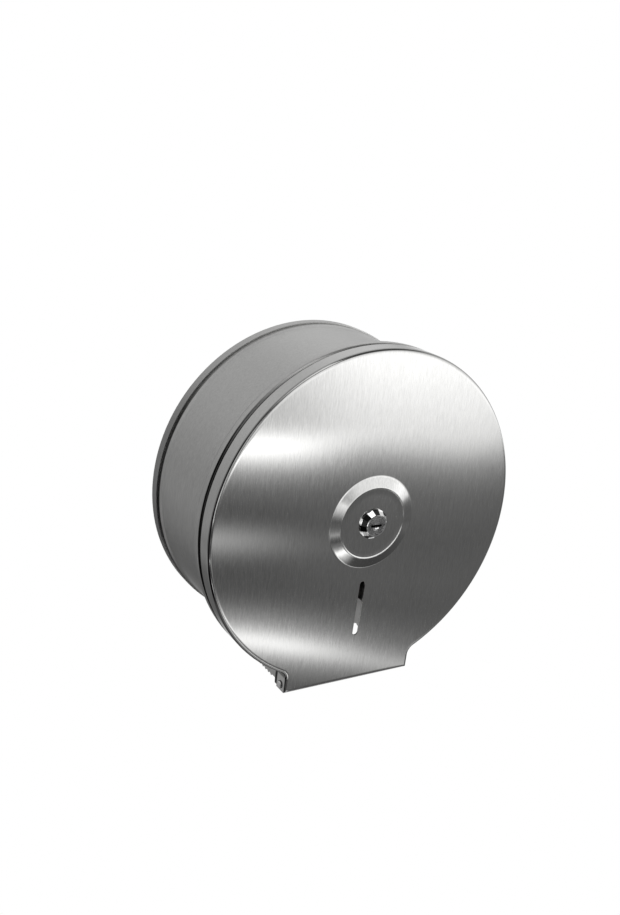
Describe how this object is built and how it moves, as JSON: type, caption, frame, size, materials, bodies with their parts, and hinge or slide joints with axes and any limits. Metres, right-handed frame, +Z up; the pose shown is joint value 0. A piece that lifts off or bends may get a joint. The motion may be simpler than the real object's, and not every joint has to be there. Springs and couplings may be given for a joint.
{
  "type": "jumbo toilet roll dispenser",
  "caption": "Round wall-mounted jumbo toilet roll dispenser in stainless sheet, with a hinged, locking front cover, a level slot and a saw-toothed paper outlet.",
  "frame": {"origin": "middle of the four wall screws, on the drum's axis, in the plane of the wall", "axes": "+X to the viewer's right, +Y into the wall, +Z up, so the cover faces -Y"},
  "size_m": [0.26, 0.12, 0.264],
  "materials": {
    "cover_steel": "fine vertical brushing",
    "drum_steel": "dull satin",
    "inner_steel": "mill finish",
    "chrome": "polished",
    "zinc": "bright zinc plate",
    "brass": "stamped",
    "hub_plastic": "moulded"
  },
  "bodies": {
    "body": {"back_pan": "drum_steel", "drum_wall": "drum_steel", "left_cheek": "inner_steel", "right_cheek": "inner_steel", "spindle_base": "inner_steel", "base_rivets": "zinc", "spindle_tube": "inner_steel", "strike_plate": "inner_steel", "hub_washers": "hub_plastic", "hinge_washers": "zinc"},
    "cover": {"front_cover": "cover_steel", "hinge_rivets": "zinc", "lock_housing": "chrome", "lock_washer": "zinc", "lock_nut": "zinc"},
    "lock": {"key_plug": "chrome", "lock_wafers": "brass", "lock_cam": "zinc", "cam_washer": "zinc", "cam_screw": "zinc"},
    "hub": {"roll_hub": "hub_plastic"}
  },
  "joints": [
    {"name": "cover_hinge", "type": "hinge", "parent": "body", "child": "cover", "pos_m": [0, -0.104, -0.1289], "axis": [1, 0, 0], "range_deg": [0, 90]},
    {"name": "lock_turn", "type": "hinge", "parent": "cover", "child": "lock", "pos_m": [0, -0.1, 0], "axis": [0, 1, 0], "range_deg": [0, 90]},
    {"name": "hub_spin", "type": "hinge", "parent": "body", "child": "hub", "pos_m": [0, -0.05, 0], "axis": [0, 1, 0], "continuous": true}
  ]
}
